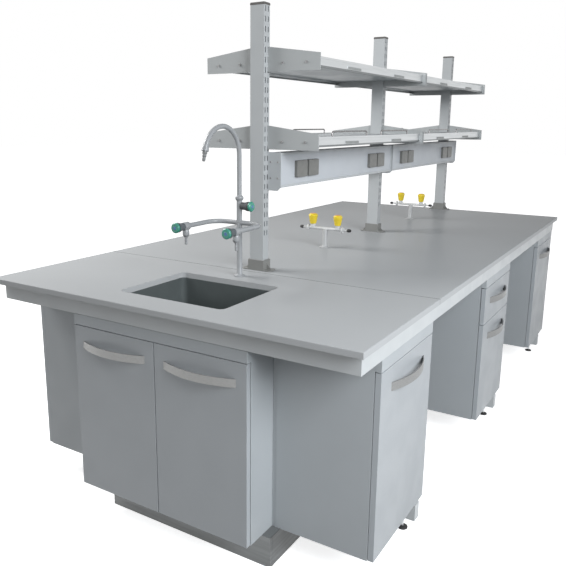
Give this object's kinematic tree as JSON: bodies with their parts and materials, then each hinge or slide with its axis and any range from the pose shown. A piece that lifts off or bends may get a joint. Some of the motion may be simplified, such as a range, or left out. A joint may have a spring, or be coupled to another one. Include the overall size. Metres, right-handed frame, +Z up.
{
  "type": "laboratory work table",
  "caption": "Island laboratory bench with an end sink, cupboards and drawers below, a shelved reagent rack, a socket duct, gas taps and a swan neck water tap.",
  "frame": {"origin": "on the floor, under the middle of the bench", "axes": "+X along the bench from the sink end to the far end, -Y towards the side with the sockets, +Z up"},
  "size_m": [3, 1.514, 1.85],
  "materials": {
    "worktop": "fine satin",
    "frame_steel": "powder coated",
    "foot_dark": "moulded over a steel stem",
    "cap_dark": "moulded",
    "basin": "satin moulded",
    "waste_plastic": "moulded",
    "cabinet_board": "faced board, light blue grey",
    "front_board": "faced board, light blue grey",
    "handle_metal": "satin",
    "hinge_plated": "plated",
    "runner_steel": "coated",
    "rack_metal": "silver grey powder coat",
    "shoe_grey": "moulded",
    "bracket_metal": "silver grey powder coat",
    "shelf_board": "white faced board",
    "strip_metal": "satin",
    "rod_chrome": "polished",
    "duct_white": "powder coated",
    "socket_insert": "moulded",
    "socket_cover": "moulded",
    "tap_white": "powder coated brass",
    "knob_green": "moulded",
    "knob_yellow": "moulded"
  },
  "bodies": {
    "bench": {"worktop_sink_section": "worktop", "worktop_main_section": "worktop", "cross_frames": "frame_steel", "apron_rails": "frame_steel", "levelling_feet": "foot_dark", "tube_end_caps": "cap_dark", "sink_basin": "basin", "sink_waste_and_trap": "waste_plastic", "sink_cabinet": "cabinet_board", "door_cabinets": "cabinet_board", "drawer_cabinets": "cabinet_board", "sink_plinth": "cabinet_board", "hinge_arms": "hinge_plated", "drawer_runners": "runner_steel", "rack_uprights": "rack_metal", "upright_shoes": "shoe_grey", "shelf_brackets": "bracket_metal", "rack_shelves": "shelf_board", "shelf_edge_strips": "strip_metal", "guard_rails": "rod_chrome", "socket_ducts": "duct_white", "socket_inserts": "socket_insert", "faucet_body": "tap_white", "gas_taps": "tap_white"},
    "sink_door_left": {"sink_door_left": "front_board", "sink_handle_left": "handle_metal"},
    "sink_door_right": {"sink_door_right": "front_board", "sink_handle_right": "handle_metal"},
    "end_door_socket_side": {"end_door_socket_side": "front_board", "end_handle_socket_side": "handle_metal"},
    "end_door_plain_side": {"end_door_plain_side": "front_board", "end_handle_plain_side": "handle_metal"},
    "middle_door_socket_side": {"middle_door_socket_side": "front_board", "middle_handle_socket_side": "handle_metal"},
    "drawer_socket_side": {"drawer_socket_side": "front_board", "drawer_handle_socket_side": "handle_metal"},
    "middle_door_plain_side": {"middle_door_plain_side": "front_board", "middle_handle_plain_side": "handle_metal"},
    "drawer_plain_side": {"drawer_plain_side": "front_board", "drawer_handle_plain_side": "handle_metal"},
    "far_door_socket_side": {"far_door_socket_side": "front_board", "far_handle_socket_side": "handle_metal"},
    "far_door_plain_side": {"far_door_plain_side": "front_board", "far_handle_plain_side": "handle_metal"},
    "hose_knob_plain_side": {"hose_knob_plain_side": "knob_green"},
    "hose_knob_socket_side": {"hose_knob_socket_side": "knob_green"},
    "spout_knob": {"spout_knob": "knob_green"},
    "swan_neck_spout": {"swan_neck_spout": "tap_white"},
    "gas_knob_1_plain_side": {"gas_knob_1_plain_side": "knob_yellow"},
    "gas_knob_1_socket_side": {"gas_knob_1_socket_side": "knob_yellow"},
    "gas_knob_2_plain_side": {"gas_knob_2_plain_side": "knob_yellow"},
    "gas_knob_2_socket_side": {"gas_knob_2_socket_side": "knob_yellow"},
    "socket_lid_1": {"socket_lid_1": "socket_cover"},
    "socket_lid_2": {"socket_lid_2": "socket_cover"},
    "socket_lid_3": {"socket_lid_3": "socket_cover"},
    "socket_lid_4": {"socket_lid_4": "socket_cover"},
    "socket_lid_5": {"socket_lid_5": "socket_cover"},
    "socket_lid_6": {"socket_lid_6": "socket_cover"},
    "socket_lid_7": {"socket_lid_7": "socket_cover"},
    "socket_lid_8": {"socket_lid_8": "socket_cover"}
  },
  "joints": [
    {"name": "sink_door_left_hinge", "type": "hinge", "parent": "bench", "child": "sink_door_left", "pos_m": [-1.439, 0.3635, 0.4165], "axis": [0, 0, -1], "range_deg": [0, 105]},
    {"name": "sink_door_right_hinge", "type": "hinge", "parent": "bench", "child": "sink_door_right", "pos_m": [-1.439, -0.3635, 0.4165], "axis": [0, 0, 1], "range_deg": [0, 105]},
    {"name": "end_door_socket_side_hinge", "type": "hinge", "parent": "bench", "child": "end_door_socket_side", "pos_m": [-1.3085, -0.708, 0.4165], "axis": [0, 0, -1], "range_deg": [0, 105]},
    {"name": "end_door_plain_side_hinge", "type": "hinge", "parent": "bench", "child": "end_door_plain_side", "pos_m": [-0.8615, 0.708, 0.4165], "axis": [0, 0, -1], "range_deg": [0, 105]},
    {"name": "middle_door_socket_side_hinge", "type": "hinge", "parent": "bench", "child": "middle_door_socket_side", "pos_m": [-0.136, -0.708, 0.3335], "axis": [0, 0, -1], "range_deg": [0, 105]},
    {"name": "drawer_socket_side_slide", "type": "slide", "parent": "bench", "child": "drawer_socket_side", "axis": [0, -1, 0], "range_m": [0, 0.35]},
    {"name": "middle_door_plain_side_hinge", "type": "hinge", "parent": "bench", "child": "middle_door_plain_side", "pos_m": [0.311, 0.708, 0.3335], "axis": [0, 0, -1], "range_deg": [0, 105]},
    {"name": "drawer_plain_side_slide", "type": "slide", "parent": "bench", "child": "drawer_plain_side", "axis": [0, 1, 0], "range_m": [0, 0.35]},
    {"name": "far_door_socket_side_hinge", "type": "hinge", "parent": "bench", "child": "far_door_socket_side", "pos_m": [1.0365, -0.708, 0.4165], "axis": [0, 0, -1], "range_deg": [0, 105]},
    {"name": "far_door_plain_side_hinge", "type": "hinge", "parent": "bench", "child": "far_door_plain_side", "pos_m": [1.4835, 0.708, 0.4165], "axis": [0, 0, -1], "range_deg": [0, 105]},
    {"name": "hose_knob_plain_side_turn", "type": "hinge", "parent": "bench", "child": "hose_knob_plain_side", "pos_m": [-1.193, 0.11, 1.055], "axis": [-1, 0, 0], "range_deg": [0, 90]},
    {"name": "hose_knob_socket_side_turn", "type": "hinge", "parent": "bench", "child": "hose_knob_socket_side", "pos_m": [-1.193, -0.11, 1.055], "axis": [-1, 0, 0], "range_deg": [0, 90]},
    {"name": "spout_knob_turn", "type": "hinge", "parent": "bench", "child": "spout_knob", "pos_m": [-0.963, -0.0445, 1.118], "axis": [0, -1, 0], "range_deg": [0, 90]},
    {"name": "swan_neck_swivel", "type": "hinge", "parent": "bench", "child": "swan_neck_spout", "pos_m": [-0.963, 0, 1.138], "axis": [0, 0, 1], "range_deg": [-120, 120]},
    {"name": "gas_knob_1_plain_side_turn", "type": "hinge", "parent": "bench", "child": "gas_knob_1_plain_side", "pos_m": [-0.2525, 0.064, 0.9583], "axis": [0, 0, 1], "range_deg": [0, 90]},
    {"name": "gas_knob_1_socket_side_turn", "type": "hinge", "parent": "bench", "child": "gas_knob_1_socket_side", "pos_m": [-0.2525, -0.064, 0.9583], "axis": [0, 0, 1], "range_deg": [0, 90]},
    {"name": "gas_knob_2_plain_side_turn", "type": "hinge", "parent": "bench", "child": "gas_knob_2_plain_side", "pos_m": [0.8925, 0.064, 0.9583], "axis": [0, 0, 1], "range_deg": [0, 90]},
    {"name": "gas_knob_2_socket_side_turn", "type": "hinge", "parent": "bench", "child": "gas_knob_2_socket_side", "pos_m": [0.8925, -0.064, 0.9583], "axis": [0, 0, 1], "range_deg": [0, 90]},
    {"name": "socket_lid_1_hinge", "type": "hinge", "parent": "bench", "child": "socket_lid_1", "pos_m": [-0.6585, -0.0854, 1.2765], "axis": [-1, 0, 0], "range_deg": [0, 90]},
    {"name": "socket_lid_2_hinge", "type": "hinge", "parent": "bench", "child": "socket_lid_2", "pos_m": [-0.5605, -0.0854, 1.2765], "axis": [-1, 0, 0], "range_deg": [0, 90]},
    {"name": "socket_lid_3_hinge", "type": "hinge", "parent": "bench", "child": "socket_lid_3", "pos_m": [0.0555, -0.0854, 1.2765], "axis": [-1, 0, 0], "range_deg": [0, 90]},
    {"name": "socket_lid_4_hinge", "type": "hinge", "parent": "bench", "child": "socket_lid_4", "pos_m": [0.1535, -0.0854, 1.2765], "axis": [-1, 0, 0], "range_deg": [0, 90]},
    {"name": "socket_lid_5_hinge", "type": "hinge", "parent": "bench", "child": "socket_lid_5", "pos_m": [0.4865, -0.0854, 1.2765], "axis": [-1, 0, 0], "range_deg": [0, 90]},
    {"name": "socket_lid_6_hinge", "type": "hinge", "parent": "bench", "child": "socket_lid_6", "pos_m": [0.5845, -0.0854, 1.2765], "axis": [-1, 0, 0], "range_deg": [0, 90]},
    {"name": "socket_lid_7_hinge", "type": "hinge", "parent": "bench", "child": "socket_lid_7", "pos_m": [1.2005, -0.0854, 1.2765], "axis": [-1, 0, 0], "range_deg": [0, 90]},
    {"name": "socket_lid_8_hinge", "type": "hinge", "parent": "bench", "child": "socket_lid_8", "pos_m": [1.2985, -0.0854, 1.2765], "axis": [-1, 0, 0], "range_deg": [0, 90]}
  ]
}
